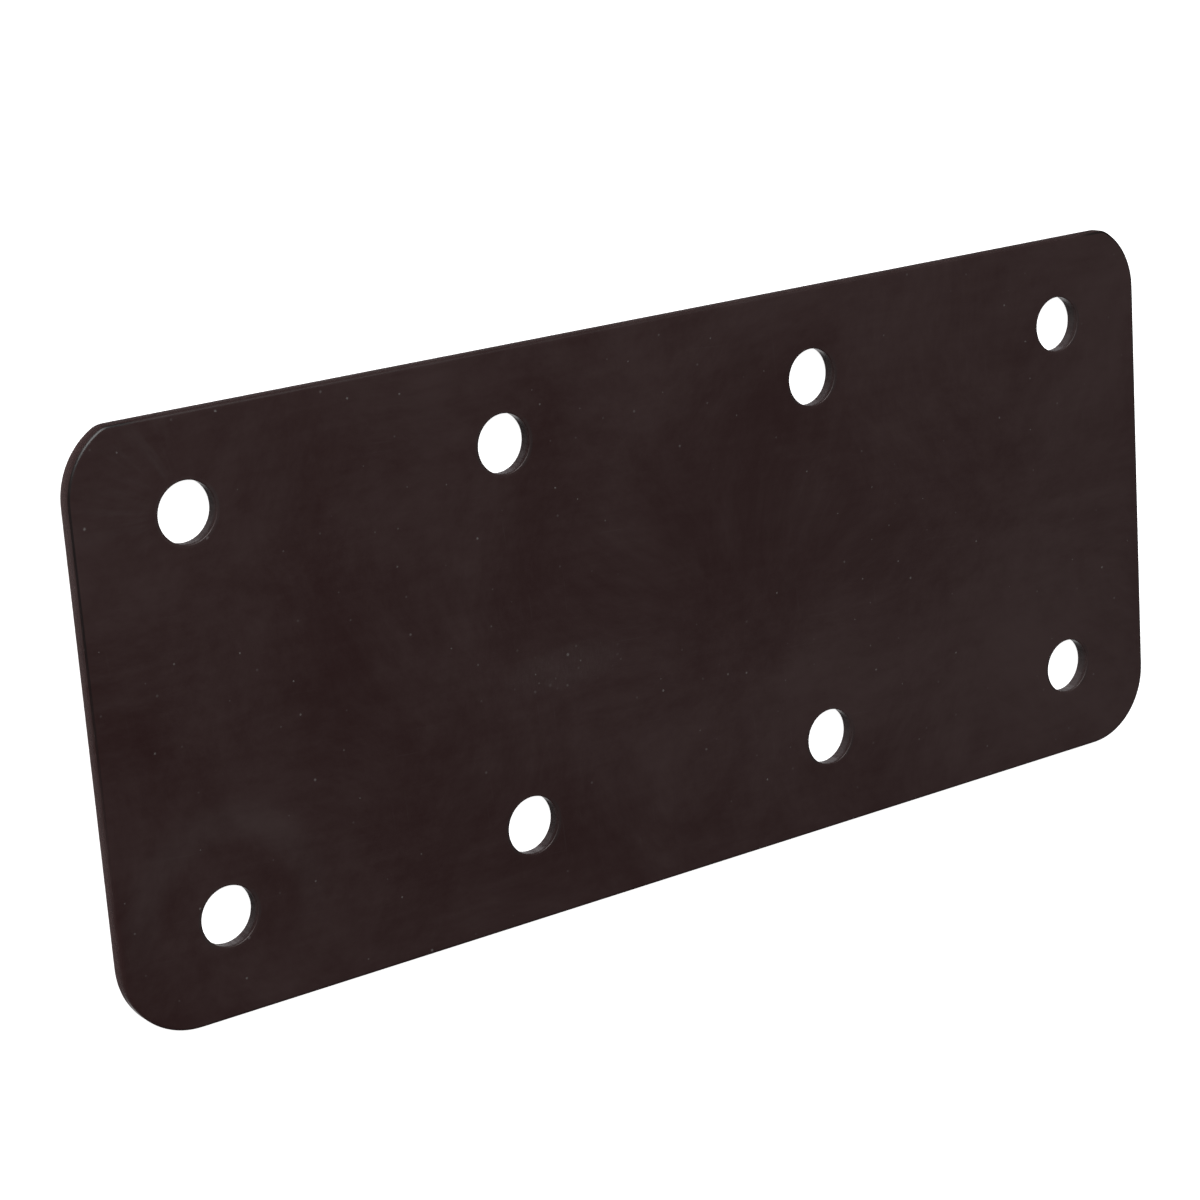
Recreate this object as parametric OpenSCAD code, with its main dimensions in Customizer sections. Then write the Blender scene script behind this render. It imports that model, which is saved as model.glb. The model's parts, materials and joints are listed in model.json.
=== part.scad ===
// Garden sleeper support plate: one flat rounded plate with two rows of screw holes, lying on its back.
// Length runs along X, width along Y, thickness along Z; the back face lies on Z = 0.

/* [Plate] */
// Length of the plate, end to end
plate_length = 225; // [200:1:300]
// Width of the strip that the plate is cut from
plate_width = 100; // [80:1:140]
// Thickness of the coated sheet
plate_thickness = 3; // [2.4:0.1:6]
// Radius of the cut corners
corner_radius = 13; // [8:0.5:20]
// Depth by which the upper long edge cuts across the upper corner arcs
upper_trim = 1.3; // [0.4:0.1:3]
// Rounding of the outer edges, front and back
edge_round = 0.6; // [0.2:0.05:1]

/* [Screw holes] */
// Diameter of each hole
hole_diameter = 10.2; // [6:0.1:12]
// Distance from a plate end to its nearest column of holes
end_margin = 20; // [15:0.5:28]
// Distance between the two columns of holes at one end
column_step = 59.5; // [30:0.5:65]
// Distance from a cut long side to its row of holes
row_margin = 17.25; // [14:0.05:22]
// Rounding of the hole lips, front and back
lip_round = 0.5; // [0.1:0.05:0.8]

/* [Hidden] */
$fn = 96;
// Overshoot that carries a cut clear of a face
clear = 1;
// Long sides of the cut outline: the lower one lies on the strip edge, the upper one above it
cut_width = plate_width + upper_trim;
cut_low = -plate_width / 2;
cut_mid = cut_low + cut_width / 2;
// Centres of the corner arcs
arc_x = plate_length / 2 - corner_radius;
arc_low = cut_low + corner_radius;
arc_high = cut_low + cut_width - corner_radius;
// Centres of the holes
column_out = plate_length / 2 - end_margin;
column_in = column_out - column_step;
row_offset = cut_width / 2 - row_margin;
hole_radius = hole_diameter / 2;

// Section from an inner line out to one rounded edge, inner line on X = 0
module edge_section(reach) {
    square([reach - edge_round, plate_thickness]);
    translate([0, edge_round])
        square([reach, plate_thickness - 2 * edge_round]);
    for (z = [edge_round, plate_thickness - edge_round])
        translate([reach - edge_round, z])
            circle(r = edge_round);
}

// Straight run of an edge, along +Y from the origin, facing +X
module edge_run(length, reach) {
    translate([0, length, 0])
        rotate([90, 0, 0])
            linear_extrude(height = length)
                edge_section(reach);
}

// Quarter turn of an edge about the origin, in the +X +Y quadrant
module edge_corner() {
    rotate_extrude(angle = 90)
        edge_section(corner_radius);
}

// Strip with both long edges rounded, over a length along X centred on the origin
module strip(length) {
    for (side = [0, 1])
        mirror([0, side, 0])
            translate([length / 2, 0, 0])
                rotate([0, 0, 90])
                    edge_run(length, plate_width / 2);
}

// Cut end of the plate on the +X side, before the upper long edge trims it
module cut_end() {
    translate([arc_x, arc_low, 0])
        edge_run(arc_high - arc_low, corner_radius);
    translate([arc_x, arc_low, 0])
        mirror([0, 1, 0])
            edge_corner();
    translate([arc_x, arc_high, 0])
        intersection() {
            edge_corner();
            translate([0, -arc_high, 0])
                strip(4 * corner_radius);
        }
}

// Plate without its holes
module blank() {
    strip(2 * arc_x);
    cut_end();
    mirror([1, 0, 0])
        cut_end();
}

// Half section of one hole, from its axis to the wall, with a flared mouth at each face
module hole_section() {
    translate([0, -clear])
        square([hole_radius, plate_thickness + 2 * clear]);
    for (face = [0, 1])
        translate([0, face * plate_thickness])
            mirror([0, face])
                difference() {
                    translate([0, -clear])
                        square([hole_radius + lip_round, clear + lip_round]);
                    translate([hole_radius + lip_round, lip_round])
                        circle(r = lip_round);
                }
}

// All the holes: two columns at each end, in two rows
module screw_holes() {
    for (x = [-column_out, -column_in, column_in, column_out])
        for (y = [cut_mid - row_offset, cut_mid + row_offset])
            translate([x, y, 0])
                rotate_extrude()
                    hole_section();
}

module support_plate() {
    color("#2f2323")
        difference() {
            blank();
            screw_holes();
        }
}

support_plate();
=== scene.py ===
"""Garden sleeper support plate: a punched steel plate under a dark brown coat, lying on a pale floor."""

import json
import math

import bmesh
import bpy
from mathutils import Matrix, Vector


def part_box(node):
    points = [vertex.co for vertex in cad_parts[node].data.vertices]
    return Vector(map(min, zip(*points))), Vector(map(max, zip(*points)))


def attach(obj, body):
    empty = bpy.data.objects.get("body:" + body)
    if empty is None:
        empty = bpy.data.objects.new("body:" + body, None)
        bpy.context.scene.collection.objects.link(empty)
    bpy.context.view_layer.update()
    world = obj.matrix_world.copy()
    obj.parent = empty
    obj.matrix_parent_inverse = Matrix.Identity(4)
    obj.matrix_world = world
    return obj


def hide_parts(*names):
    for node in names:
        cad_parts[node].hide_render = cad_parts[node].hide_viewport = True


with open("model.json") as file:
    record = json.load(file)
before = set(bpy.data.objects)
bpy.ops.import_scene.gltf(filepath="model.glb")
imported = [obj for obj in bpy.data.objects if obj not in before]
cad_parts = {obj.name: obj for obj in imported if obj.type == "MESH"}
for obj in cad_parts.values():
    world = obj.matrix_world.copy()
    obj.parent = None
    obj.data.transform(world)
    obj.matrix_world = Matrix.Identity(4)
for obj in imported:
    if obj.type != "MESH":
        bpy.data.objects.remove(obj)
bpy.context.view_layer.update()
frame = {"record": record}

bl_info = {
    "name": "Garden Sleeper Support Plate",
    "version": (1, 0, 0),
    "blender": (4, 5, 0),
    "location": "View3D > Sidebar > Sleeper Plate",
    "description": "Builds a punched and coated sleeper support plate and a photo stage for it",
    "category": "Add Mesh",
}

NODE = "support_plate"
BODY = "root"
PIECE = "coated_plate"
MM = 0.001

PLATE_LOW, PLATE_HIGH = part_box(NODE)
MOUNTS = {mount["name"]: mount for mount in frame["record"]["mounts"]}
OUTER_SCREWS = MOUNTS["outer_screws"]["dims"]
INNER_SCREWS = MOUNTS["inner_screws"]["dims"]
PATTERN_MIDDLE = MOUNTS["outer_screws"]["pos_m"]


class PlateSizes(bpy.types.PropertyGroup):
    """Sizes of the plate and its holes."""

    length: bpy.props.FloatProperty(
        name="Length", description="Length of the plate, end to end",
        unit="LENGTH", default=PLATE_HIGH[0] - PLATE_LOW[0])
    width: bpy.props.FloatProperty(
        name="Width", description="Width of the strip that the plate is cut from",
        unit="LENGTH", default=PLATE_HIGH[1] - PLATE_LOW[1])
    thickness: bpy.props.FloatProperty(
        name="Thickness", description="Thickness of the coated sheet",
        unit="LENGTH", default=PLATE_HIGH[2] - PLATE_LOW[2])
    corner_radius: bpy.props.FloatProperty(
        name="Corner Radius", description="Radius of the cut corners",
        unit="LENGTH", default=13 * MM)
    upper_trim: bpy.props.FloatProperty(
        name="Upper Trim", description="Depth by which the upper edge cuts across the corner arcs",
        unit="LENGTH", default=2 * PATTERN_MIDDLE[1])
    edge_round: bpy.props.FloatProperty(
        name="Edge Round", description="Rounding of the outer edges",
        unit="LENGTH", default=0.6 * MM)
    lip_round: bpy.props.FloatProperty(
        name="Lip Round", description="Rounding of the hole lips on the front face",
        unit="LENGTH", default=0.2 * MM)
    break_out: bpy.props.FloatProperty(
        name="Break Out",
        description="Rounding of the holes on the back face, where the punch broke through",
        unit="LENGTH", default=0.8 * MM)
    hole_diameter: bpy.props.FloatProperty(
        name="Hole Diameter", description="Diameter of each screw hole",
        unit="LENGTH", default=2 * OUTER_SCREWS["hole_r_mm"] * MM)
    outer_spacing: bpy.props.FloatProperty(
        name="Outer Spacing", description="Distance between the outer columns of holes",
        unit="LENGTH", default=OUTER_SCREWS["spacing_x_mm"] * MM)
    inner_spacing: bpy.props.FloatProperty(
        name="Inner Spacing", description="Distance between the inner columns of holes",
        unit="LENGTH", default=INNER_SCREWS["spacing_x_mm"] * MM)
    row_spacing: bpy.props.FloatProperty(
        name="Row Spacing", description="Distance between the two rows of holes",
        unit="LENGTH", default=OUTER_SCREWS["spacing_y_mm"] * MM)
    tear_depth: bpy.props.FloatProperty(
        name="Tear Depth", description="Depth of the marks that the cut leaves in the walls",
        unit="LENGTH", default=0.08 * MM)


class CoatFinish(bpy.types.PropertyGroup):
    """Colours and texture of the coat."""

    dark: bpy.props.FloatVectorProperty(
        name="Dark Coat", description="Colour of the coat where it is clean",
        subtype="COLOR", size=3, default=(0.0194, 0.0069, 0.0068))
    # Pale clouds: mostly a painted sheen of mirrored light, partly tone that varies at random
    pale_sheen: bpy.props.FloatVectorProperty(
        name="Pale Sheen", description="Colour of the coat where a haze clouds it",
        subtype="COLOR", size=3, default=(0.0370, 0.0212, 0.0206))
    # Partly painted light: this pale colour stands for thin coat on the hole walls and for light on
    # their upper and lower sides
    thin_coat_and_light: bpy.props.FloatVectorProperty(
        name="Thin Coat And Painted Light", description="Colour of the thin coat on the torn walls of the holes",
        subtype="COLOR", size=3, default=(0.165, 0.149, 0.153))
    # Partly painted light: lightens the outer walls towards the back face, partly thin coat on the cut
    worn: bpy.props.FloatVectorProperty(
        name="Worn Coat And Painted Light", description="Colour of the coat where it thins on the outer walls",
        subtype="COLOR", size=3, default=(0.075, 0.050, 0.049))
    # Painted shade: a dark colour for the dark reflection on the front rounding and for shade on the
    # hole lips
    painted_dark: bpy.props.FloatVectorProperty(
        name="Painted Dark", description="Colour of the dark line on the front rounding and on the hole lips",
        subtype="COLOR", size=3, default=(0.006, 0.004, 0.004))
    dust: bpy.props.FloatVectorProperty(
        name="Dust", description="Colour of dust specks and rub marks",
        subtype="COLOR", size=3, default=(0.10, 0.088, 0.085))
    roughness: bpy.props.FloatProperty(
        name="Roughness", description="Roughness of the clean coat",
        subtype="FACTOR", min=0, max=1, default=0.28)
    cloud_size: bpy.props.FloatProperty(
        name="Cloud Size", description="Width of the hazy clouds on the coat",
        unit="LENGTH", default=70 * MM)
    peel_size: bpy.props.FloatProperty(
        name="Peel Size", description="Width of the fine dimples in the coat",
        unit="LENGTH", default=0.9 * MM)
    speck_spacing: bpy.props.FloatProperty(
        name="Speck Spacing", description="Mean distance between places where dust may sit",
        unit="LENGTH", default=7 * MM)


class StageSetup(bpy.types.PropertyGroup):
    """Camera and light of the photo stage."""

    azimuth: bpy.props.FloatProperty(
        name="Azimuth", description="Direction of the camera from its aim, turned from +X",
        subtype="ANGLE", default=math.radians(154.764))
    elevation: bpy.props.FloatProperty(
        name="Elevation", description="Angle of the camera above the floor",
        subtype="ANGLE", default=math.radians(52.502))
    roll: bpy.props.FloatProperty(
        name="Roll", description="Turn of the camera about its line of view",
        subtype="ANGLE", default=math.radians(-106.428))
    distance: bpy.props.FloatProperty(
        name="Distance", description="Distance from the camera to its aim",
        subtype="DISTANCE", default=542.22 * MM)
    aim: bpy.props.FloatVectorProperty(
        name="Aim", description="Point on the floor that the camera looks at",
        subtype="TRANSLATION", size=3, default=(-13.916 * MM, 2.63 * MM, 0.0))
    lens: bpy.props.FloatProperty(
        name="Lens", description="Focal length in millimetres, on a sensor 36 mm wide",
        default=94.489)
    floor_glow: bpy.props.FloatProperty(
        name="Floor Glow", description="Light that the floor gives off, as a light table does",
        default=0.75)
    room_level: bpy.props.FloatProperty(
        name="Room Level", description="Brightness of the room that the coat mirrors",
        default=0.15)


class Graph:
    """A node tree under construction: add() makes a node and sets or links its inputs."""

    def __init__(self, tree):
        self.tree = tree

    def add(self, kind, inputs=None, **settings):
        node = self.tree.nodes.new(kind)
        for name, value in settings.items():
            setattr(node, name, value)
        for key, value in (inputs or {}).items():
            if isinstance(value, bpy.types.NodeSocket):
                self.link(value, node.inputs[key])
            else:
                node.inputs[key].default_value = value
        return node

    def out(self, kind, inputs=None, **settings):
        return self.add(kind, inputs, **settings).outputs[0]

    def math(self, operation, *values):
        return self.out("ShaderNodeMath", dict(enumerate(values)), operation=operation)

    def xyz(self, x=0.0, y=0.0, z=0.0):
        return self.out("ShaderNodeCombineXYZ", {"X": x, "Y": y, "Z": z})

    def split(self, vector):
        return self.add("ShaderNodeSeparateXYZ", {0: vector}).outputs

    def ramp(self, value, low, high, first=0.0, last=1.0):
        return self.out("ShaderNodeMapRange", {
            "Value": value, "From Min": low, "From Max": high, "To Min": first, "To Max": last},
            interpolation_type="SMOOTHSTEP")

    def product(self, first, *others):
        for other in others:
            first = self.math("MULTIPLY", first, other)
        return first

    def distance(self, across, up):
        squares = self.math("ADD", self.product(across, across), self.product(up, up))
        return self.math("SQRT", squares)

    def noise(self, vector, scale, detail=2.0, roughness=0.5, distortion=0.0):
        return self.out("ShaderNodeTexNoise", {
            "Vector": vector, "Scale": scale, "Detail": detail, "Roughness": roughness,
            "Distortion": distortion})

    def blend(self, share, under, over):
        node = self.add("ShaderNodeMix", {0: share, 6: under, 7: over}, data_type="RGBA")
        return node.outputs[2]

    def link(self, start, end):
        self.tree.links.new(start, end)

    def join(self, *parts):
        node = self.add("GeometryNodeJoinGeometry")
        for part in parts:
            self.link(part, node.inputs[0])
        return node.outputs[0]


def add_socket(tree, name, kind, side="INPUT", default=None):
    socket = tree.interface.new_socket(name=name, in_out=side, socket_type=kind)
    if default is not None:
        socket.default_value = default


# Plate

SIZE_FIELDS = (
    "length", "width", "thickness", "corner_radius", "upper_trim", "edge_round", "lip_round",
    "break_out", "hole_diameter", "outer_spacing", "inner_spacing", "row_spacing", "tear_depth")
OUTLINE_STEP = 0.5 * MM
CORNER_POINTS = 48
RING_POINTS = 160
ROUND_STEPS = 6
WALL_STEPS = 8
FLAT_RIM = 0.4 * MM
WELD = 0.001 * MM
TIP_BLUR = 3
HOLE_COLUMNS = 4
HOLE_ROWS = 2
TEAR_SCALE = 1300.0
TEAR_LOWER = (-1.0, -0.6)
TEAR_UPPER = (0.3, 0.05)
TEAR_STRETCH = 0.2


def plate_tree(sizes, face_coat, hole_coat):
    """Tree of the plate: an edge swept round the outline, lips swept round the holes, faces between."""
    tree = bpy.data.node_groups.new("Punched plate", "GeometryNodeTree")
    for field in SIZE_FIELDS:
        add_socket(tree, sizes.bl_rna.properties[field].name, "NodeSocketFloat")
    add_socket(tree, "Geometry", "NodeSocketGeometry", "OUTPUT")
    g = Graph(tree)
    size = dict(zip(SIZE_FIELDS, g.add("NodeGroupInput").outputs))
    half_thick = g.math("MULTIPLY", size["thickness"], 0.5)
    pattern_y = g.math("MULTIPLY", size["upper_trim"], 0.5)

    edge = g.out("GeometryNodeCurveToMesh", {
        "Curve": cut_outline(g, size, pattern_y),
        "Profile Curve": rounded_section(g, half_thick, size["edge_round"], size["edge_round"])})
    lips = g.out("GeometryNodeCurveToMesh", {
        "Curve": hole_rings(g, size, pattern_y),
        "Profile Curve": rounded_section(g, half_thick, size["lip_round"], size["break_out"])})
    walls = g.join(edge, lips)
    front = face_between(g, walls, "GREATER_THAN", half_thick)
    back = face_between(g, walls, "LESS_THAN", g.math("MULTIPLY", half_thick, -1.0))
    back = g.out("GeometryNodeFlipFaces", {"Mesh": back})
    faces = g.out("GeometryNodeSetShadeSmooth", {
        "Geometry": g.join(front, back), "Shade Smooth": False})

    half_length = g.math("MULTIPLY", size["length"], 0.5)
    outward = g.math("ABSOLUTE", g.split(g.out("GeometryNodeInputPosition"))["X"])
    at_end = g.ramp(outward, g.math("SUBTRACT", half_length, size["corner_radius"]), half_length)
    edge = torn_walls(g, edge, g.math("MULTIPLY", at_end, size["tear_depth"]), half_thick)
    lips = torn_walls(g, lips, size["tear_depth"], half_thick)
    marked = g.add("GeometryNodeCaptureAttribute", {"Geometry": lips}, domain="FACE")
    marked.capture_items.new("BOOLEAN", "In Hole")
    marked.inputs["In Hole"].default_value = True
    whole = g.join(edge, faces, marked.outputs["Geometry"])
    whole = g.out("GeometryNodeMergeByDistance", {"Geometry": whole, "Distance": WELD})
    whole = g.out("GeometryNodeTransform", {"Geometry": whole, "Translation": g.xyz(z=half_thick)})
    whole = g.out("GeometryNodeRealizeInstances", {"Geometry": whole})
    whole = g.out("GeometryNodeSetMaterial", {"Geometry": whole, "Material": face_coat})
    whole = g.out("GeometryNodeSetMaterial", {
        "Geometry": whole, "Selection": marked.outputs["In Hole"], "Material": hole_coat})
    g.add("NodeGroupOutput", {0: whole})
    return tree


def cut_outline(g, size, pattern_y):
    """Rounded rectangle whose upper side is cut back to the edge of the strip."""
    curve = g.out("GeometryNodeCurvePrimitiveQuadrilateral", {
        "Width": size["length"], "Height": g.math("ADD", size["width"], size["upper_trim"])})
    curve = g.out("GeometryNodeTransform", {"Geometry": curve, "Translation": g.xyz(y=pattern_y)})
    curve = g.out("GeometryNodeFilletCurve", {
        "Curve": curve, "Count": CORNER_POINTS, "Radius": size["corner_radius"],
        "Limit Radius": True}, mode="POLY")
    curve = g.out("GeometryNodeResampleCurve", {
        "Curve": curve, "Length": OUTLINE_STEP}, mode="LENGTH")
    place = g.split(g.out("GeometryNodeInputPosition"))
    upper = g.math("MINIMUM", place["Y"], g.math("MULTIPLY", size["width"], 0.5))
    curve = g.out("GeometryNodeSetPosition", {
        "Geometry": curve, "Position": g.xyz(place["X"], upper, place["Z"])})
    soft = g.out("GeometryNodeBlurAttribute", {
        "Value": g.out("GeometryNodeInputPosition"), "Iterations": TIP_BLUR},
        data_type="FLOAT_VECTOR")
    curve = g.out("GeometryNodeSetPosition", {"Geometry": curve, "Position": soft})
    return g.out("GeometryNodeSetCurveNormal", {"Curve": curve}, mode="Z_UP")


def rounded_section(g, half_thick, front_round, back_round):
    """Section of an edge, from a flat rim on the front face round the wall to a rim on the back."""
    points = 2 * ROUND_STEPS + WALL_STEPS + 3
    curve = g.out("GeometryNodeResampleCurve", {
        "Curve": g.out("GeometryNodeCurvePrimitiveLine"), "Count": points}, mode="COUNT")
    index = g.out("GeometryNodeInputIndex")
    stops = (1, 1 + ROUND_STEPS, 1 + ROUND_STEPS + WALL_STEPS, points - 2)
    first, wall, last = (
        g.out("ShaderNodeMapRange", {"Value": index, "From Min": low, "From Max": high})
        for low, high in zip(stops, stops[1:]))
    angle = g.math("MULTIPLY", g.math("SUBTRACT", g.math("ADD", first, last), 1.0), math.pi / 2)
    on_back = g.math("GREATER_THAN", angle, 0.0)
    rounding = g.out("ShaderNodeMix", {"Factor": on_back, "A": front_round, "B": back_round})
    out = g.math("MULTIPLY", g.math("SUBTRACT", g.math("COSINE", angle), 1.0), rounding)
    rise = g.math("MULTIPLY", g.math("SINE", angle), rounding)
    along = g.out("ShaderNodeMix", {
        "Factor": wall, "A": g.math("SUBTRACT", front_round, half_thick),
        "B": g.math("SUBTRACT", half_thick, back_round)})
    curve = g.out("GeometryNodeSetPosition", {
        "Geometry": curve, "Position": g.xyz(out, g.math("ADD", rise, along))})
    ends = g.out("GeometryNodeCurveEndpointSelection", {"Start Size": 1, "End Size": 1})
    return g.out("GeometryNodeSetPosition", {
        "Geometry": curve, "Selection": ends, "Offset": (-FLAT_RIM, 0.0, 0.0)})


def hole_rings(g, size, pattern_y):
    """One ring for each hole: four columns in two rows."""
    index = g.out("GeometryNodeInputIndex")
    column = g.math("SUBTRACT", g.math("MODULO", index, HOLE_COLUMNS), (HOLE_COLUMNS - 1) / 2)
    row = g.math("FLOOR", g.math("DIVIDE", index, HOLE_COLUMNS))
    row = g.math("SUBTRACT", row, (HOLE_ROWS - 1) / 2)
    outer = g.math("SUBTRACT", g.math("ABSOLUTE", column), 0.5)
    spread = g.math("SUBTRACT", size["outer_spacing"], size["inner_spacing"])
    reach = g.math("MULTIPLY_ADD", outer, spread, size["inner_spacing"])
    across = g.math("MULTIPLY", g.math("SIGN", column), g.math("MULTIPLY", reach, 0.5))
    up = g.math("MULTIPLY_ADD", row, size["row_spacing"], pattern_y)
    centres = g.out("GeometryNodePoints", {
        "Count": HOLE_COLUMNS * HOLE_ROWS, "Position": g.xyz(across, up)})
    ring = g.out("GeometryNodeCurvePrimitiveCircle", {
        "Resolution": RING_POINTS, "Radius": g.math("MULTIPLY", size["hole_diameter"], 0.5)},
        mode="RADIUS")
    ring = g.out("GeometryNodeReverseCurve", {"Curve": ring})
    rings = g.out("GeometryNodeInstanceOnPoints", {"Points": centres, "Instance": ring})
    rings = g.out("GeometryNodeRealizeInstances", {"Geometry": rings})
    return g.out("GeometryNodeSetCurveNormal", {"Curve": rings}, mode="Z_UP")


def face_between(g, walls, side, height):
    """Flat face that fills the space between the open rims of the walls on one side."""
    open_edge = g.out("FunctionNodeCompare", {
        2: g.out("GeometryNodeInputMeshEdgeNeighbors"), 3: 1},
        data_type="INT", operation="EQUAL")
    place = g.split(g.out("GeometryNodeInputPosition"))
    on_side = g.out("FunctionNodeCompare", {"A": place["Z"], "B": 0.0}, operation=side)
    rim = g.out("FunctionNodeBooleanMath", {0: open_edge, 1: on_side}, operation="AND")
    loops = g.out("GeometryNodeMeshToCurve", {"Mesh": walls, "Selection": rim})
    face = g.out("GeometryNodeFillCurve", {"Curve": loops}, mode="TRIANGLES")
    return g.out("GeometryNodeTransform", {"Geometry": face, "Translation": g.xyz(z=height)})


def torn_walls(g, walls, depth, half_thick):
    """Presses upright marks into the walls, deepest where the cut tore towards the back face."""
    place = g.split(g.out("GeometryNodeInputPosition"))
    stretched = g.math("MULTIPLY", place["Z"], TEAR_STRETCH)
    marks = g.noise(g.xyz(place["X"], place["Y"], stretched), TEAR_SCALE)
    level = g.math("DIVIDE", place["Z"], half_thick)
    torn = g.product(g.ramp(level, *TEAR_LOWER), g.ramp(level, *TEAR_UPPER))
    press = g.product(g.product(marks, torn), g.math("MULTIPLY", depth, -1.0))
    offset = g.add("ShaderNodeVectorMath", {
        0: g.out("GeometryNodeInputNormal"), "Scale": press}, operation="SCALE").outputs[0]
    return g.out("GeometryNodeSetPosition", {"Geometry": walls, "Offset": offset})


# Coat

# A noise is given by its detail, roughness and distortion, and a soft step by its start and end
COAT_IOR = 1.5
CLOUD_ROUGH = 0.08
SOFT_DETAIL = 1.0
NOISE_MIDDLE = 0.5

# Clouds, mostly a painted sheen of mirrored light in the coat's colour: places in the noise, sizes
# against the cloud size, and weights
BROAD_SHIFT = (-0.193, 3.836, -1.430)
BROAD_NOISE = (8.0, 0.62, 0.5)
HAZE_SHIFT = (-1.245, -1.582, 4.436)
HAZE_NOISE = (8.0, 0.8, 0.5)
HAZE_RATIO = 70.0 / 36.0
HAZE_WEIGHT = 1.45
WIPED_STRETCH = (0.16, 1.0, 1.0)
WIPED_NOISE = (3.0, 0.6)
WIPED_RATIO = 40.0
WIPED_WEIGHT = 0.25
CLOUD_SPREAD = (0.04, 0.94)

# Orange peel: the long sag against the fine dimples
PEEL_NOISE = (2.0, 0.45)
SAG_RATIO = 0.12
SAG_HEIGHT = 1.5
FACE_BUMP = {"Strength": 0.25, "Distance": 0.02 * MM}
HOLE_BUMP = {"Strength": 0.35, "Distance": 0.03 * MM}

# Dust: sizes and strengths of the specks, and where more of it settled
SPECK_SMALLEST = 0.5
SPECK_SPREAD = 0.7
SPECK_FAINTEST = 0.2
SPECK_FADE = (1.0, 0.3)
SPECK_HEIGHT = 3.0
SETTLED_SCALE = 30.0
SETTLED_FADE = (0.35, 0.65)
SETTLED_SHARE = (0.1, 0.75)

# Hairline scratches: direction in degrees and stretch of each run
HAIR_RUNS = ((4.0, 0.02), (86.0, 0.03))
HAIR_SCALE = 2200.0
HAIR_NOISE = (2.0, 0.6)
HAIR_FADE = (0.62, 0.8)
HAIR_PATCH_SCALE = 45.0
HAIR_PATCH_FADE = (0.5, 0.65)
HAIR_SHARE = 0.09

# Rubbed patch
RUB_PLACE = (-24 * MM, -6.5 * MM)
RUB_REACH = (14 * MM, 4.5 * MM)
RUB_FADE = (1.0, 0.2)
RUB_DOTS = {"Spacing": 2.2 * MM, "Radius": 0.34 * MM, "Share": 0.55}
RUB_DOT_SHARE = 0.9
RUB_STROKE_SCALE = 2600.0
RUB_STROKE_STRETCH = 0.2
RUB_STROKE_NOISE = (3.0, 0.7)
RUB_STROKE_FADE = (0.45, 0.75)
RUB_STROKE_SHARE = 0.07
RUB_VEIL = 0.04

# Scuffs that fan out from the upper left hole
FAN_INNER = (5.5 * MM, 8 * MM)
FAN_OUTER = (24 * MM, 10 * MM)
FAN_ENDWARD = (3 * MM, -5 * MM)
FAN_UPWARD = (-7 * MM, 2 * MM)
FAN_RAY_SCALE = 6.0
FAN_RAY_DRIFT = 12.0
FAN_RAY_NOISE = (3.0, 0.65)
FAN_RAY_FADE = (0.42, 0.7)
FAN_SHARE = 0.075

# Ring above each hole, plain to see only at the lower left one
RING_INNER = (11 * MM, 15 * MM)
RING_OUTER = (21 * MM, 16 * MM)
RING_LEAN = (-0.6, 0.3)
RING_END = (-60 * MM, -85 * MM)
RING_LOW = (0.0, -20 * MM)
RING_LOW_END_SHARE = 0.05
RING_SHARE = 0.008

# Outer edges: heights are parts of the thickness
FACE_DEPTH = (0.1 * MM, 0.02 * MM)
END_REACH = (-1 * MM, 3 * MM)
# Painted dark line on the front rounding, a dark reflection put into the colour, strongest at the ends
# towards the top
DARK_LINE_START = (0.885, 0.935)
DARK_LINE_END = (0.998, 0.985)
DARK_LINE_SPAN = (-44 * MM, 25 * MM)
DARK_LINE_AT_ENDS = (-0.1, 0.7)
DARK_LINE_SHARE = 0.2
WALL_FRONT = (0.9, 0.75)
WALL_BACK = (0.0, 0.04)
# Worn coat towards the back of the outer walls: partly thin coat, partly painted light, less at the ends
WORN_AND_LIT_FADE = (0.85, 0.0)
WORN_AND_LIT_LESS_AT_ENDS = -0.45
WORN_AND_LIT_SHARE = 0.7
STREAK_SCALE = 1500.0
STREAK_FADE = (0.3, 0.7)
STREAK_SHARE = 0.3
STREAK_HEIGHT = 4.0
VEIL_ROUGH = 0.5
EDGE_ROUGH = 0.06
WALL_ROUGH = -0.14

# Holes: lean is the sine of the place round the hole, from -1 at the bottom to 1 at the top
LOWER_LEAN = (-0.3, -0.9)
LOWER_SIDE_LEAN = (-0.6, -0.9)
LOWEST_LEAN = (-0.88, -0.99)
UPPER_LEAN = (0.4, 0.8)
LIP_DROP = -0.12
HOLE_WALL = (0.88, 0.6)
HOLE_LIP = (0.88, 0.95)
THIN_SHARE = 0.1
# Painted light on the upper and lower walls of the holes, and a painted glare at their bottom
LOWER_PAINTED_LIGHT = 0.2
UPPER_PAINTED_LIGHT = 0.2
LOWEST_PAINTED_GLARE = 0.5
MARK_SCALE = 1900.0
MARK_STRETCH = 0.12
MARK_NOISE = (3.0, 0.6)
MARK_FADE = (0.2, 0.75)
MARK_SHARE = (0.45, 1.0)
MARK_HEIGHT = 3.0
CHIPS = {"Spacing": 3 * MM, "Radius": 0.4 * MM, "Share": 0.2}
CHIP_RISE = (1.2 * MM, 1.8 * MM)
CHIP_SHARE = 0.4
# Painted shade in patches on the front lips of the holes, which also makes them rougher
LIP_SHADE_SCALE = 160.0
LIP_SHADE_FADE = (0.65, 0.5)
LIP_SHADE_SHARE = 0.35
LIP_SHADE_ROUGH = 0.4
HOLE_ROUGH = 0.12
HOLE_WALL_ROUGH = 0.16
HOLE_SIDE_ROUGH = -0.4
THIN_ROUGH = 0.2


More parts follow.
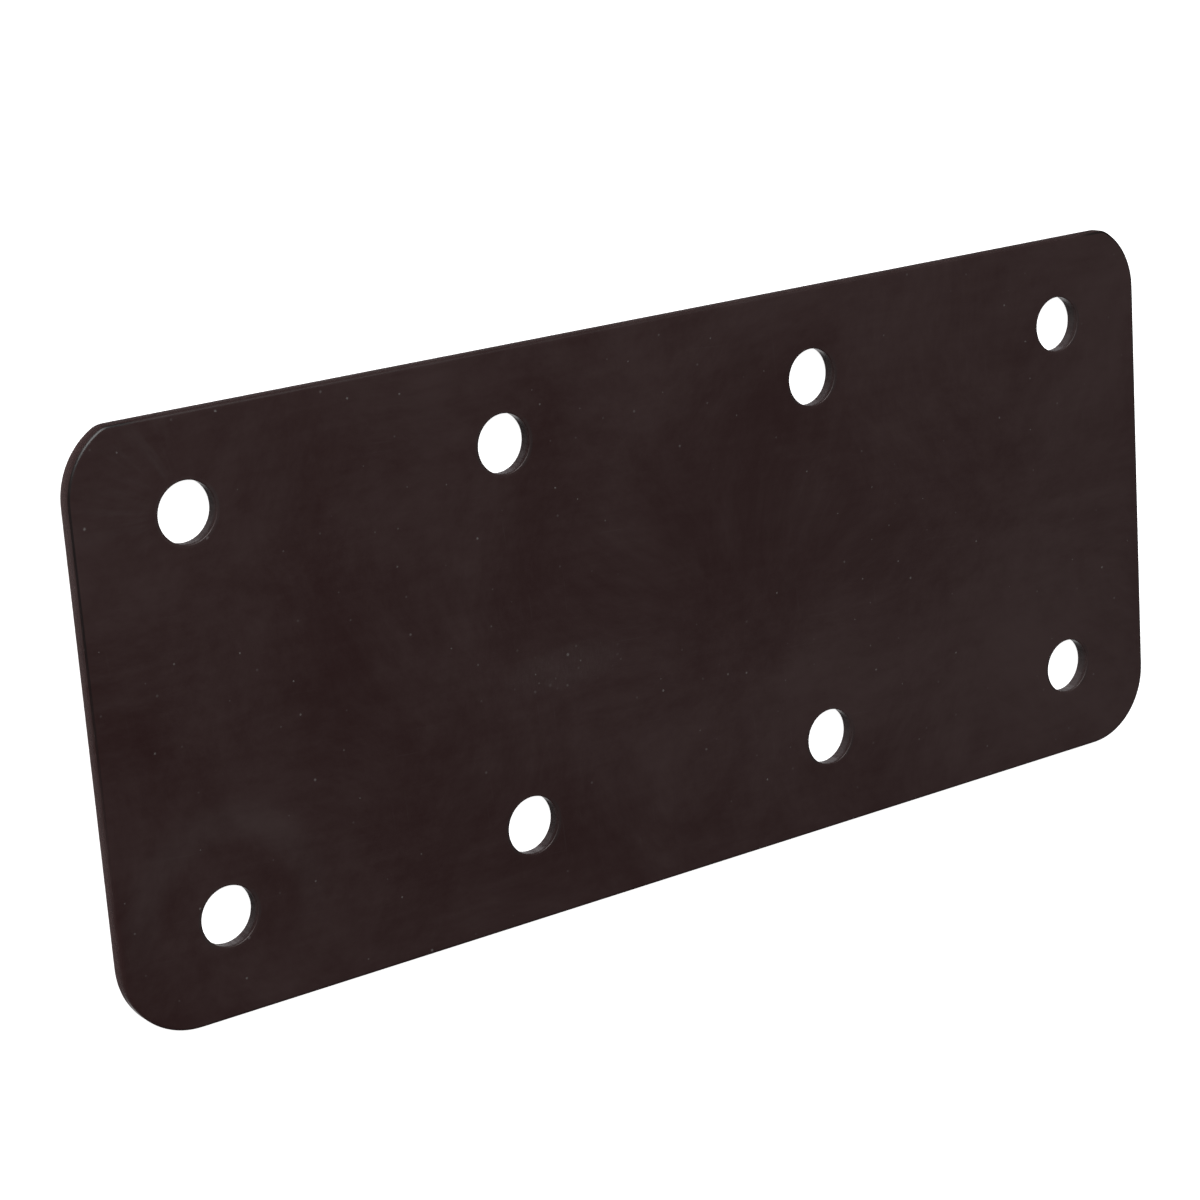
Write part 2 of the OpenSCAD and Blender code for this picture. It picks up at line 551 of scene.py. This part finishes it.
def coat_group(name, inputs, outputs):
    """Empty shader group with the given sockets; returns its graph, input sockets and output node."""
    tree = bpy.data.node_groups.new(name, "ShaderNodeTree")
    for socket, (kind, default) in inputs.items():
        add_socket(tree, socket, kind, default=default)
    for socket, kind in outputs.items():
        add_socket(tree, socket, kind, "OUTPUT")
    g = Graph(tree)
    return g, g.add("NodeGroupInput").outputs, g.add("NodeGroupOutput")


def clouded_coat():
    """Coat colour that clouds softly from dark to pale, and the cloud mask itself; the pale clouds are
    mostly a painted sheen of mirrored light, partly tone that varies at random.
    """
    g, given, result = coat_group("Clouded coat", {
        "Vector": ("NodeSocketVector", None),
        "Dark": ("NodeSocketColor", (0.02, 0.008, 0.008, 1.0)),
        "Pale": ("NodeSocketColor", (0.036, 0.022, 0.021, 1.0)),
        "Cloud Size": ("NodeSocketFloat", 70 * MM)},
        {"Color": "NodeSocketColor", "Cloud": "NodeSocketFloat"})
    scale = g.math("DIVIDE", 1.0, given["Cloud Size"])

    def mapped(**change):
        return g.out("ShaderNodeMapping", {"Vector": given["Vector"], **change})

    broad = g.noise(mapped(Location=BROAD_SHIFT), scale, *BROAD_NOISE)
    haze_scale = g.math("MULTIPLY", scale, HAZE_RATIO)
    haze = g.noise(mapped(Location=HAZE_SHIFT), haze_scale, *HAZE_NOISE)
    wiped_scale = g.math("MULTIPLY", scale, WIPED_RATIO)
    wiped = g.noise(mapped(Scale=WIPED_STRETCH), wiped_scale, *WIPED_NOISE)
    cloud = g.math("MULTIPLY_ADD", g.math("SUBTRACT", haze, NOISE_MIDDLE), HAZE_WEIGHT, broad)
    cloud = g.math("MULTIPLY_ADD", g.math("SUBTRACT", wiped, NOISE_MIDDLE), WIPED_WEIGHT, cloud)
    cloud = g.ramp(cloud, *CLOUD_SPREAD)
    g.link(g.blend(cloud, given["Dark"], given["Pale"]), result.inputs["Color"])
    g.link(cloud, result.inputs["Cloud"])
    return g.tree


def dust_specks():
    """Mask of small specks, one in some of the cells of a loose flat grid."""
    g, given, result = coat_group("Dust specks", {
        "Vector": ("NodeSocketVector", None),
        "Spacing": ("NodeSocketFloat", 8 * MM),
        "Radius": ("NodeSocketFloat", 0.27 * MM),
        "Share": ("NodeSocketFloat", 0.4)},
        {"Mask": "NodeSocketFloat"})
    cells = g.add("ShaderNodeTexVoronoi", {
        "Vector": given["Vector"], "Scale": g.math("DIVIDE", 1.0, given["Spacing"]),
        "Randomness": 1.0}, voronoi_dimensions="2D")
    lot = g.add("ShaderNodeSeparateColor", {0: cells.outputs["Color"]}).outputs
    size = g.product(g.math("DIVIDE", given["Radius"], given["Spacing"]),
                     g.math("MULTIPLY_ADD", lot["Green"], SPECK_SPREAD, SPECK_SMALLEST))
    near = g.ramp(g.math("DIVIDE", cells.outputs["Distance"], size), *SPECK_FADE)
    kept = g.math("LESS_THAN", lot["Red"], given["Share"])
    strength = g.math("MULTIPLY_ADD", g.product(lot["Blue"], lot["Blue"]),
                      1.0 - SPECK_FAINTEST, SPECK_FAINTEST)
    g.link(g.product(near, kept, strength), result.inputs["Mask"])
    return g.tree


def orange_peel():
    """Height of the fine dimples that a baked coat dries with."""
    g, given, result = coat_group("Orange peel", {
        "Vector": ("NodeSocketVector", None),
        "Peel Size": ("NodeSocketFloat", 0.9 * MM)},
        {"Height": "NodeSocketFloat"})
    scale = g.math("DIVIDE", 1.0, given["Peel Size"])
    dimple = g.noise(given["Vector"], scale, *PEEL_NOISE)
    sag = g.noise(given["Vector"], g.math("MULTIPLY", scale, SAG_RATIO), SOFT_DETAIL)
    g.link(g.math("MULTIPLY_ADD", sag, SAG_HEIGHT, dimple), result.inputs["Height"])
    return g.tree


def upright_marks():
    """Fine streaks that run up and down the walls, as a cut leaves them."""
    g, given, result = coat_group("Upright marks", {
        "Vector": ("NodeSocketVector", None),
        "Scale": ("NodeSocketFloat", STREAK_SCALE)},
        {"Mask": "NodeSocketFloat"})
    axis = g.split(given["Vector"])
    stretched = g.math("MULTIPLY", axis["Z"], MARK_STRETCH)
    marks = g.noise(g.xyz(axis["X"], axis["Y"], stretched), given["Scale"], *MARK_NOISE)
    g.link(marks, result.inputs["Mask"])
    return g.tree


def coat_material(name, finish, groups):
    """Material with the parts that all of the coat shares: its clouds, its peel and its shader."""
    material = bpy.data.materials.new(name)
    material.use_nodes = True
    material.node_tree.nodes.clear()
    g = Graph(material.node_tree)
    place = g.add("ShaderNodeTexCoord").outputs["Object"]
    coat = g.add("ShaderNodeGroup", node_tree=groups["coat"])
    peel = g.add("ShaderNodeGroup", node_tree=groups["peel"])
    for node in (coat, peel):
        g.link(place, node.inputs["Vector"])
    coat.inputs["Dark"].default_value = (*finish.dark, 1.0)
    # The pale colour is mostly a painted sheen of mirrored light
    coat.inputs["Pale"].default_value = (*finish.pale_sheen, 1.0)
    coat.inputs["Cloud Size"].default_value = finish.cloud_size
    peel.inputs["Peel Size"].default_value = finish.peel_size
    shader = g.add("ShaderNodeBsdfPrincipled", {"IOR": COAT_IOR, "Metallic": 0.0})
    g.add("ShaderNodeOutputMaterial", {"Surface": shader.outputs[0]})
    return material, g, place, coat.outputs, peel.outputs["Height"], shader.inputs


def hole_place(g, axis, sizes):
    """Distance in the plane of the plate from the nearest hole's centre, and the part of it along +Y."""
    outer, inner = sizes.outer_spacing, sizes.inner_spacing
    column = g.math("SUBTRACT", g.math("ABSOLUTE", axis["X"]), (outer + inner) / 4)
    column = g.math("SUBTRACT", g.math("ABSOLUTE", column), (outer - inner) / 4)
    level = g.math("SUBTRACT", axis["Y"], sizes.upper_trim / 2)
    row = g.math("SUBTRACT", g.math("ABSOLUTE", level), sizes.row_spacing / 2)
    return g.distance(column, row), g.product(row, g.math("SIGN", level))


def hairlines(g, axis, turn, stretch):
    """Fine scratches along a direction in the plane of the plate, gathered in patches."""
    turned = g.out("ShaderNodeVectorRotate", {
        "Vector": g.xyz(axis["X"], axis["Y"]), "Angle": math.radians(turn)}, rotation_type="Z_AXIS")
    along = g.split(turned)
    drawn_out = g.xyz(g.math("MULTIPLY", along["X"], stretch), along["Y"], turn)
    lines = g.noise(drawn_out, HAIR_SCALE, *HAIR_NOISE)
    patch = g.noise(g.xyz(axis["X"], axis["Y"], turn), HAIR_PATCH_SCALE, SOFT_DETAIL)
    return g.product(g.ramp(lines, *HAIR_FADE), g.ramp(patch, *HAIR_PATCH_FADE))


def edge_bands(g, axis, sizes):
    """Masks of the painted dark line on the front rounding, a painted dark reflection, of the walls, and
    of the worn coat that lightens towards their back, partly thin coat and partly painted light.
    """
    arc = sizes.length / 2 - sizes.corner_radius
    at_end = g.ramp(g.math("ABSOLUTE", axis["X"]), arc + END_REACH[0], arc + END_REACH[1])
    level = g.math("DIVIDE", axis["Z"], sizes.thickness)
    # Painted dark line: a dark reflection on the front rounding
    dark_line = g.product(g.ramp(level, *DARK_LINE_START), g.ramp(level, *DARK_LINE_END))
    upward = g.ramp(axis["Y"], *DARK_LINE_SPAN, *DARK_LINE_AT_ENDS)
    dark_line = g.product(dark_line, g.math("MULTIPLY_ADD", at_end, upward, DARK_LINE_SHARE))
    wall = g.product(g.ramp(level, *WALL_FRONT), g.ramp(level, *WALL_BACK))
    less = g.math("MULTIPLY_ADD", at_end, WORN_AND_LIT_LESS_AT_ENDS, 1.0)
    return dark_line, wall, g.product(wall, g.product(g.ramp(level, *WORN_AND_LIT_FADE), less))


def rub_mark(g, axis, specks):
    """Rubbed patch: a thin veil, fine upright strokes and bright dots inside an oval."""
    across, up = (g.math("DIVIDE", g.math("SUBTRACT", axis[name], middle), reach)
                  for name, middle, reach in zip("XY", RUB_PLACE, RUB_REACH))
    inside = g.ramp(g.math("ADD", g.product(across, across), g.product(up, up)), *RUB_FADE)
    stretched = g.math("MULTIPLY", axis["Y"], RUB_STROKE_STRETCH)
    strokes = g.noise(g.xyz(axis["X"], stretched), RUB_STROKE_SCALE, *RUB_STROKE_NOISE)
    dots = g.add("ShaderNodeGroup", {
        "Vector": g.xyz(axis["X"], axis["Y"]), **RUB_DOTS}, node_tree=specks).outputs["Mask"]
    worn = g.math("MULTIPLY_ADD", dots, RUB_DOT_SHARE, RUB_VEIL)
    worn = g.math("MULTIPLY_ADD", g.ramp(strokes, *RUB_STROKE_FADE), RUB_STROKE_SHARE, worn)
    return g.product(inside, worn)


def fanned_scuffs(g, axis, centre):
    """Faint streaks that fan out from a hole towards the end of the plate."""
    across = g.math("SUBTRACT", axis["X"], centre[0])
    up = g.math("SUBTRACT", axis["Y"], centre[1])
    away = g.distance(across, up)
    turned = g.xyz(g.math("ARCTAN2", up, across), g.math("MULTIPLY", away, FAN_RAY_DRIFT))
    rays = g.noise(turned, FAN_RAY_SCALE, *FAN_RAY_NOISE)
    reach = g.product(g.ramp(away, *FAN_INNER), g.ramp(away, *FAN_OUTER))
    endward = g.product(g.ramp(across, *FAN_ENDWARD), g.ramp(up, *FAN_UPWARD))
    return g.product(g.product(reach, endward), g.ramp(rays, *FAN_RAY_FADE))


def hole_ring(g, axis, sizes):
    """Faint ring above each hole, stronger at the lower left one."""
    away, up = hole_place(g, axis, sizes)
    ring = g.product(g.ramp(away, *RING_INNER), g.ramp(away, *RING_OUTER))
    ring = g.product(ring, g.ramp(g.math("DIVIDE", up, away), *RING_LEAN))
    low_end = g.product(g.ramp(axis["X"], *RING_END), g.ramp(axis["Y"], *RING_LOW))
    return g.product(ring, g.math("MULTIPLY_ADD", low_end, RING_LOW_END_SHARE, RING_SHARE))


def face_coat_material(finish, sizes, groups):
    """Coat on the faces and outer edges: clouds that are mostly a painted sheen, orange peel, dust,
    scratches, scuffs, a painted dark line on the front rounding, and worn walls that are partly painted
    light.
    """
    material, g, place, coat, peel, shader = coat_material("Brown coat", finish, groups)
    axis = g.split(place)
    settled = g.noise(place, SETTLED_SCALE, SOFT_DETAIL)
    settled = g.ramp(settled, *SETTLED_FADE, *SETTLED_SHARE)
    specks = g.add("ShaderNodeGroup", {
        "Vector": place, "Spacing": finish.speck_spacing, "Share": settled},
        node_tree=groups["specks"]).outputs["Mask"]
    half_thick = sizes.thickness / 2
    depth = g.math("ABSOLUTE", g.math("SUBTRACT", axis["Z"], half_thick))
    on_face = g.ramp(depth, half_thick - FACE_DEPTH[0], half_thick - FACE_DEPTH[1])
    scratch = g.math("MAXIMUM", *(hairlines(g, axis, turn, stretch) for turn, stretch in HAIR_RUNS))
    upper_left = (-sizes.outer_spacing / 2, (sizes.upper_trim + sizes.row_spacing) / 2)
    fan = fanned_scuffs(g, axis, upper_left)
    scuff = g.math("MULTIPLY_ADD", fan, FAN_SHARE, hole_ring(g, axis, sizes))
    scuff = g.math("MULTIPLY_ADD", scratch, HAIR_SHARE, scuff)
    dust = g.math("MAXIMUM", specks, rub_mark(g, axis, groups["specks"]))
    veil = g.product(g.math("MAXIMUM", dust, scuff), on_face)

    dark_line, wall, worn = edge_bands(g, axis, sizes)
    marks = g.add("ShaderNodeGroup", {
        "Vector": place, "Scale": STREAK_SCALE}, node_tree=groups["marks"]).outputs["Mask"]
    streaks = g.ramp(marks, *STREAK_FADE)
    # Worn coat on the outer walls, partly painted light that lightens them towards the back
    worn_and_lit = g.product(worn, g.math("MULTIPLY_ADD", streaks, STREAK_SHARE, WORN_AND_LIT_SHARE))
    colour = coat["Color"]
    # Dust, then the worn coat with its painted light, then the painted dark line
    for share, over in ((veil, finish.dust), (worn_and_lit, finish.worn), (dark_line, finish.painted_dark)):
        colour = g.blend(share, colour, (*over, 1.0))
    g.link(colour, shader["Base Color"])

    rough = g.math("MULTIPLY_ADD", coat["Cloud"], CLOUD_ROUGH, finish.roughness)
    rough = g.math("MULTIPLY_ADD", veil, VEIL_ROUGH, rough)
    rough = g.math("MULTIPLY_ADD", g.math("SUBTRACT", 1.0, on_face), EDGE_ROUGH, rough)
    g.link(g.math("MULTIPLY_ADD", wall, WALL_ROUGH, rough), shader["Roughness"])
    height = g.math("MULTIPLY_ADD", specks, SPECK_HEIGHT, peel)
    height = g.math("MULTIPLY_ADD", g.product(streaks, worn), STREAK_HEIGHT, height)
    bump = g.out("ShaderNodeBump", {**FACE_BUMP, "Height": height})
    g.link(bump, shader["Normal"])
    return material


def hole_coat_material(finish, sizes, groups):
    """Coat in the holes: full at the front lips with painted shade in patches, thin and streaked on the
    walls, with painted light on the upper and lower walls and a painted glare at the bottom.
    """
    material, g, place, coat, peel, shader = coat_material("Hole coat with painted light and shade", finish, groups)
    axis = g.split(place)
    away, up = hole_place(g, axis, sizes)
    lean = g.math("DIVIDE", up, away)
    lower = g.ramp(lean, *LOWER_LEAN)
    lowest = g.ramp(lean, *LOWEST_LEAN)
    upper = g.ramp(lean, *UPPER_LEAN)
    sides = g.math("MAXIMUM", upper, g.ramp(lean, *LOWER_SIDE_LEAN))
    level = g.math("DIVIDE", axis["Z"], sizes.thickness)
    level = g.math("MULTIPLY_ADD", sides, LIP_DROP, level)
    wall = g.ramp(level, *HOLE_WALL)

    marks = g.add("ShaderNodeGroup", {
        "Vector": place, "Scale": MARK_SCALE}, node_tree=groups["marks"]).outputs["Mask"]
    # Thin coat, plus painted light on the upper and lower walls and a painted glare at the bottom
    thin_coat_and_light = g.math("MULTIPLY_ADD", lower, LOWER_PAINTED_LIGHT, THIN_SHARE)
    thin_coat_and_light = g.math("MULTIPLY_ADD", upper, UPPER_PAINTED_LIGHT, thin_coat_and_light)
    thin_coat_and_light = g.math("MULTIPLY_ADD", lowest, LOWEST_PAINTED_GLARE, thin_coat_and_light)
    thin_coat_and_light = g.product(g.product(wall, thin_coat_and_light), g.ramp(marks, *MARK_FADE, *MARK_SHARE))
    chips = g.add("ShaderNodeGroup", {"Vector": place, **CHIPS}, node_tree=groups["specks"])
    chipped = g.product(chips.outputs["Mask"], g.ramp(axis["Z"], *CHIP_RISE, 0.0, CHIP_SHARE))
    # Painted shade in patches on the front lips, in the painted dark colour
    lip_shade = g.ramp(g.noise(place, LIP_SHADE_SCALE), *LIP_SHADE_FADE, 0.0, LIP_SHADE_SHARE)
    lip_shade = g.product(g.ramp(level, *HOLE_LIP), lip_shade)
    colour = g.blend(lip_shade, coat["Color"], (*finish.painted_dark, 1.0))
    colour = g.blend(g.math("MAXIMUM", thin_coat_and_light, chipped), colour, (*finish.thin_coat_and_light, 1.0))
    g.link(colour, shader["Base Color"])

    rough = g.math("MULTIPLY_ADD", coat["Cloud"], CLOUD_ROUGH, finish.roughness + HOLE_ROUGH)
    on_wall = g.math("MULTIPLY_ADD", sides, HOLE_SIDE_ROUGH, HOLE_WALL_ROUGH)
    rough = g.math("MULTIPLY_ADD", wall, on_wall, rough)
    rough = g.math("MULTIPLY_ADD", lip_shade, LIP_SHADE_ROUGH, rough)
    g.link(g.math("MULTIPLY_ADD", thin_coat_and_light, THIN_ROUGH, rough), shader["Roughness"])
    height = g.math("MULTIPLY_ADD", g.product(marks, wall), MARK_HEIGHT, peel)
    bump = g.out("ShaderNodeBump", {**HOLE_BUMP, "Height": height})
    g.link(bump, shader["Normal"])
    return material


class SLEEPERPLATE_OT_coated_plate(bpy.types.Operator):
    """Build the punched plate with its rounded edges, hole lips and brown coat"""

    bl_idname = "sleeper_plate.coated_plate"
    bl_label = "Coated Plate"

    def execute(self, context):
        sizes = context.scene.plate_sizes
        finish = context.scene.coat_finish
        groups = {
            "coat": clouded_coat(), "specks": dust_specks(), "peel": orange_peel(),
            "marks": upright_marks()}
        face_coat = face_coat_material(finish, sizes, groups)
        hole_coat = hole_coat_material(finish, sizes, groups)
        plate = bpy.data.objects.new(PIECE, bpy.data.meshes.new(PIECE))
        context.scene.collection.objects.link(plate)
        tree = plate_tree(sizes, face_coat, hole_coat)
        maker = plate.modifiers.new("Punched plate", "NODES")
        maker.node_group = tree
        fields = {sizes.bl_rna.properties[field].name: field for field in SIZE_FIELDS}
        for item in tree.interface.items_tree:
            if item.in_out == "INPUT":
                maker[item.identifier] = getattr(sizes, fields[item.name])
        made = plate.evaluated_get(context.evaluated_depsgraph_get())
        mesh = bpy.data.meshes.new_from_object(made)
        plate.modifiers.remove(maker)
        plate.data = mesh
        mesh.name = PIECE
        for empty in reversed([i for i, coat in enumerate(mesh.materials) if coat is None]):
            mesh.materials.pop(index=empty)
        if not mesh.polygons:
            raise RuntimeError("the plate came out empty")
        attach(plate, BODY)
        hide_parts(NODE)
        return {"FINISHED"}


# Stage

FLOOR_HALF = 4.0
FLOOR_GAP = 0.05 * MM
FLOOR_SEEN = 0.92
FLOOR_GREY = (0.85, 0.85, 0.85, 1.0)
FLOOR_ROUGH = 0.9
WHITE = (1.0, 1.0, 1.0, 1.0)
SENSOR_WIDTH = 36.0
NEAR_CLIP = 0.01

# Name, whether the coat mirrors it, turn, tilt, distance, width, height and brightness
LIGHTS = (
    ("upper_softbox", True, 105.0, 45.0, 1.8, 1.25, 1.25, 7.0),
    ("lower_fill", False, 265.0, 55.0, 1.6, 0.9, 0.9, 0.8),
    ("left_fill", False, 190.0, 4.0, 1.5, 1.0, 0.14, 24.0))

# Direction of each glow, the cosines where it starts and is full, and its brightness at both
ROOM_ABOVE = ((0.8, -0.25, 0.55), 0.8, 1.0, 0.3, 1.0)
ROOM_BELOW = ((-0.45, -0.35, -0.82), 0.7, 1.0, 0.3, 0.6)
ROOM_GLINT = ((0.45, -0.35, -0.82), 0.88, 0.97, 0.0, 4.0)
HORIZON = 0.1


def floor_material(glow):
    """White light table, which gives less light to the plate than to the camera."""
    material = bpy.data.materials.new("Pale floor")
    material.use_nodes = True
    g = Graph(material.node_tree)
    shader = material.node_tree.nodes["Principled BSDF"].inputs
    shader["Base Color"].default_value = FLOOR_GREY
    shader["Roughness"].default_value = FLOOR_ROUGH
    shader["Emission Color"].default_value = WHITE
    seen = g.add("ShaderNodeLightPath").outputs["Is Camera Ray"]
    g.link(g.math("MULTIPLY_ADD", seen, FLOOR_SEEN - glow, glow), shader["Emission Strength"])
    return material


def softbox(name, turn, tilt, distance, across, high, radiance):
    """Area light that faces the plate from a direction, with the brightness its face shows."""
    lamp = bpy.data.lights.new(name, "AREA")
    lamp.shape = "RECTANGLE"
    lamp.size = across
    lamp.size_y = high
    lamp.energy = radiance * math.pi * across * high
    light = bpy.data.objects.new(name, lamp)
    bpy.context.scene.collection.objects.link(light)
    turn, tilt = math.radians(turn), math.radians(tilt)
    away = Vector((math.cos(tilt) * math.cos(turn), math.cos(tilt) * math.sin(turn), math.sin(tilt)))
    light.location = away * distance
    light.rotation_euler = away.to_track_quat("Z", "Y").to_euler()
    return light


def room_light(level):
    """Dim room for the coat to mirror, and plain white behind the floor."""
    world = bpy.data.worlds.new("Pale room")
    world.use_nodes = True
    world.node_tree.nodes.clear()
    g = Graph(world.node_tree)
    toward = g.add("ShaderNodeTexCoord").outputs["Generated"]

    def glow(axis, start, end, first, last):
        along = g.add("ShaderNodeVectorMath", {
            0: toward, 1: Vector(axis).normalized()}, operation="DOT_PRODUCT")
        return g.ramp(along.outputs["Value"], start, end, first * level, last * level)

    below = g.math("ADD", glow(*ROOM_BELOW), glow(*ROOM_GLINT))
    upper_half = glow((0.0, 0.0, 1.0), -HORIZON, HORIZON, 0.0, 1.0 / level)
    tone = g.out("ShaderNodeMix", {0: upper_half, 2: below, 3: glow(*ROOM_ABOVE)})
    seen = g.add("ShaderNodeLightPath").outputs["Is Camera Ray"]
    colour = g.blend(seen, tone, WHITE)
    g.add("ShaderNodeOutputWorld", {"Surface": g.out("ShaderNodeBackground", {"Color": colour})})
    bpy.context.scene.world = world


def photo_camera(setup):
    """Camera at the photo's viewing angle, aimed at the plate."""
    away = Vector((
        math.cos(setup.elevation) * math.cos(setup.azimuth),
        math.cos(setup.elevation) * math.sin(setup.azimuth),
        math.sin(setup.elevation)))
    right = Vector((0.0, 0.0, 1.0)).cross(away).normalized()
    turn = Matrix((right, away.cross(right), away)).transposed().to_4x4()
    camera = bpy.data.objects.new("photo_camera", bpy.data.cameras.new("photo_camera"))
    camera.data.lens = setup.lens
    camera.data.sensor_width = SENSOR_WIDTH
    camera.data.clip_start = NEAR_CLIP
    camera.matrix_world = (Matrix.Translation(Vector(setup.aim) + away * setup.distance)
                           @ turn @ Matrix.Rotation(-setup.roll, 4, "Z"))
    bpy.context.scene.collection.objects.link(camera)
    bpy.context.scene.camera = camera


class SLEEPERPLATE_OT_photo_stage(bpy.types.Operator):
    """Build the pale floor, the soft lights, the room and the camera"""

    bl_idname = "sleeper_plate.photo_stage"
    bl_label = "Photo Stage"

    def execute(self, context):
        setup = context.scene.stage_setup
        mesh = bpy.data.meshes.new("floor")
        shape = bmesh.new()
        bmesh.ops.create_grid(shape, x_segments=1, y_segments=1, size=FLOOR_HALF)
        bmesh.ops.translate(shape, verts=shape.verts, vec=(0.0, 0.0, PLATE_LOW[2] - FLOOR_GAP))
        shape.to_mesh(mesh)
        shape.free()
        mesh.materials.append(floor_material(setup.floor_glow))
        floor = bpy.data.objects.new("floor", mesh)
        floor.visible_glossy = False
        context.scene.collection.objects.link(floor)
        for name, mirrored, *setting in LIGHTS:
            softbox(name, *setting).visible_glossy = mirrored
        room_light(setup.room_level)
        photo_camera(setup)
        context.scene.view_settings.view_transform = "Standard"
        return {"FINISHED"}


class VIEW3D_PT_sleeper_plate(bpy.types.Panel):
    """Sizes, finish and stage of the sleeper plate"""

    bl_label = "Sleeper Plate"
    bl_space_type = "VIEW_3D"
    bl_region_type = "UI"
    bl_category = "Sleeper Plate"

    def draw(self, context):
        layout = self.layout
        scene = context.scene
        for title, settings in (("Sizes", scene.plate_sizes), ("Coat", scene.coat_finish),
                                ("Stage", scene.stage_setup)):
            box = layout.box()
            box.label(text=title)
            for field in settings.__annotations__:
                box.prop(settings, field)
        for maker in OPERATORS:
            layout.operator(maker.bl_idname)


OPERATORS = (SLEEPERPLATE_OT_coated_plate, SLEEPERPLATE_OT_photo_stage)
CLASSES = (PlateSizes, CoatFinish, StageSetup, *OPERATORS, VIEW3D_PT_sleeper_plate)


def register():
    for cls in CLASSES:
        bpy.utils.register_class(cls)
    bpy.types.Scene.plate_sizes = bpy.props.PointerProperty(type=PlateSizes)
    bpy.types.Scene.coat_finish = bpy.props.PointerProperty(type=CoatFinish)
    bpy.types.Scene.stage_setup = bpy.props.PointerProperty(type=StageSetup)


def unregister():
    del bpy.types.Scene.stage_setup
    del bpy.types.Scene.coat_finish
    del bpy.types.Scene.plate_sizes
    for cls in reversed(CLASSES):
        bpy.utils.unregister_class(cls)


def main():
    register()
    bpy.ops.sleeper_plate.coated_plate()
    bpy.ops.sleeper_plate.photo_stage()


if __name__ == "__main__":
    main()
